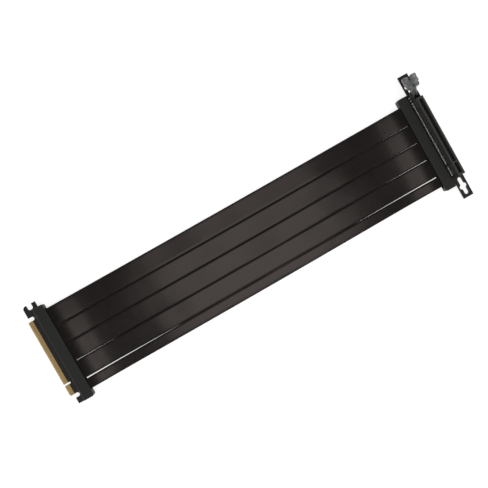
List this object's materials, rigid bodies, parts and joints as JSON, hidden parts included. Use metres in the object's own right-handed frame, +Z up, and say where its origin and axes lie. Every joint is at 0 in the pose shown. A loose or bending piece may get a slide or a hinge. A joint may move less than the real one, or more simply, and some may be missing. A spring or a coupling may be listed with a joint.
{
  "type": "gpu riser cable",
  "caption": "Flat shielded ribbon cable that joins an edge plug with gold fingers and a hooked arm to a card slot on a board with slotted ears, with a forked retention latch.",
  "frame": {"origin": "Centre of the underside, on the surface that the cable lies on: both shells stand on it.", "axes": "+X runs along the cable from the edge plug to the card socket, +Y points to the latch end of the slot, +Z is up, the way the socket opens."},
  "size_m": [0.4596, 0.141, 0.0179],
  "materials": {
    "moulding": "satin black moulding",
    "slot_moulding": "satin black moulding",
    "board": "black solder mask",
    "ribbon": "satin black shielding film",
    "latch": "satin grey moulding",
    "ceramic": "fired ceramic with tinned ends"
  },
  "bodies": {
    "riser": {"plug_board": "board", "socket_board": "board", "plug_shell_top": "moulding", "plug_shell_bottom": "moulding", "socket_shell_top": "moulding", "socket_shell_bottom": "moulding", "slot_housing": "slot_moulding", "capacitor_1": "ceramic", "capacitor_2": "ceramic", "capacitor_3": "ceramic", "capacitor_4": "ceramic", "upper_lane_strip_1": "ribbon", "lower_lane_strip_1": "ribbon", "upper_lane_strip_2": "ribbon", "lower_lane_strip_2": "ribbon", "upper_lane_strip_3": "ribbon", "lower_lane_strip_3": "ribbon", "upper_lane_strip_4": "ribbon", "lower_lane_strip_4": "ribbon", "upper_power_strip": "ribbon", "lower_power_strip": "ribbon"},
    "latch": {"retention_latch": "latch"}
  },
  "joints": [
    {"name": "latch_pivot", "type": "hinge", "parent": "riser", "child": "latch", "pos_m": [0.2223, 0.048, 0.00799], "axis": [-1, 0, 0], "range_deg": [0, 25]}
  ]
}
